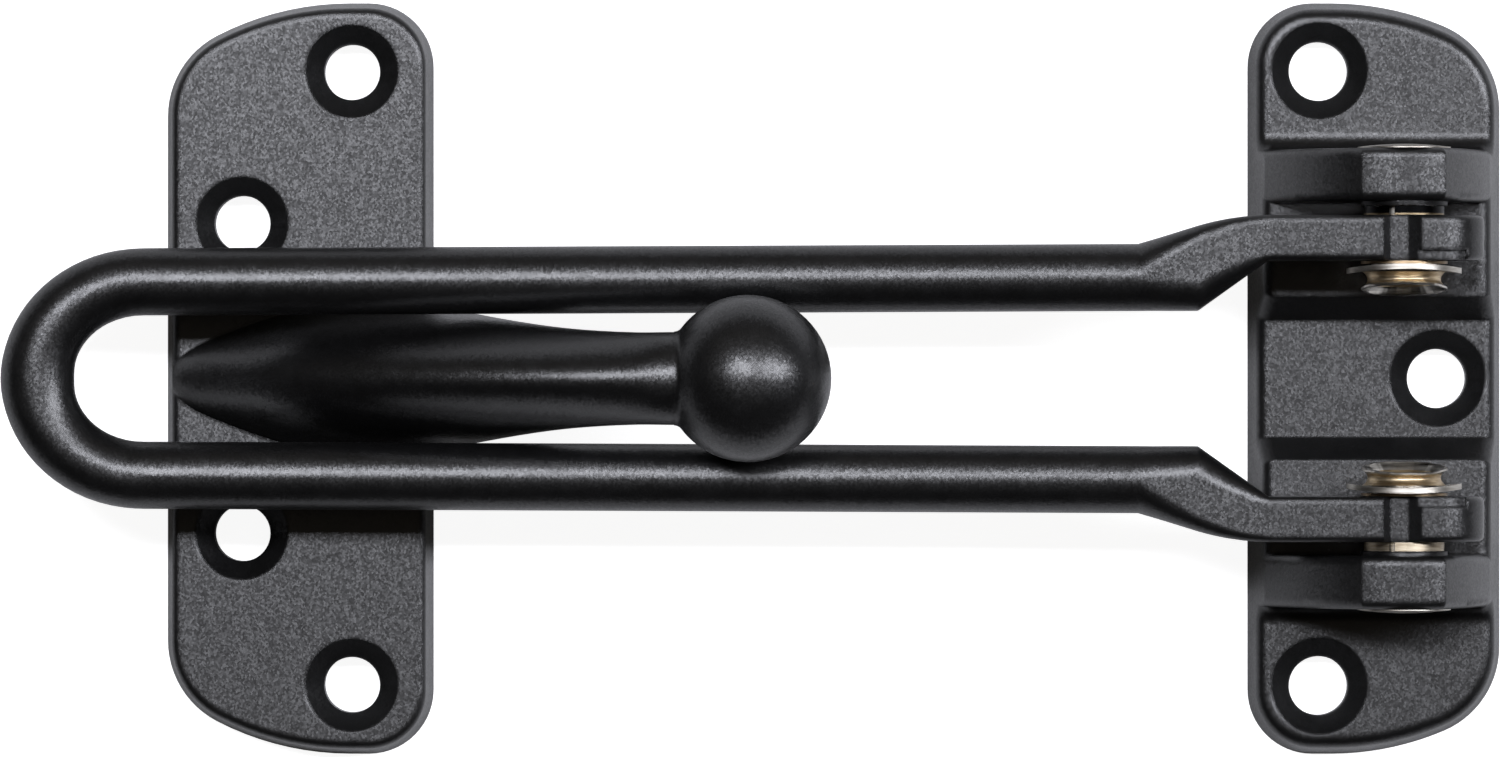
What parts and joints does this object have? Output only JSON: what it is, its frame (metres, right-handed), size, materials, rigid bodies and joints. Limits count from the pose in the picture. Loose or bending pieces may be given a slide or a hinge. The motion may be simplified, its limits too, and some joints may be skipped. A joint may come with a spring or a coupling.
{
  "type": "swing bar door guard",
  "caption": "Swing bar door guard: a cast keeper with a ball on a curved horn, a looped swing bar, and a base whose lugs carry the bar on tubular rivets with spring washers.",
  "frame": {"origin": "on the mounting plane, under the pivot axis, in the plane of symmetry", "axes": "+X from the bar's loop to the base, +Y along the pivot axis, +Z out of the door towards the room"},
  "size_m": [0.1389, 0.07, 0.0286],
  "materials": {
    "black_coat": "satin black powder coat on zinc casting",
    "nickel_plate": "bright nickel plating with a warm tint"
  },
  "bodies": {
    "base": {"base": "black_coat", "keeper": "black_coat", "rivet_upper": "nickel_plate", "rivet_lower": "nickel_plate", "split_washer_upper": "nickel_plate", "split_washer_lower": "nickel_plate", "friction_ring_upper": "nickel_plate", "friction_ring_lower": "nickel_plate", "bowed_washer_upper": "nickel_plate", "bowed_washer_lower": "nickel_plate"},
    "bar": {"swing_bar": "black_coat"}
  },
  "joints": [
    {"name": "bar_swing", "type": "hinge", "parent": "base", "child": "bar", "pos_m": [0, 0, 0.014], "axis": [0, 1, 0], "range_deg": [0, 180]}
  ]
}
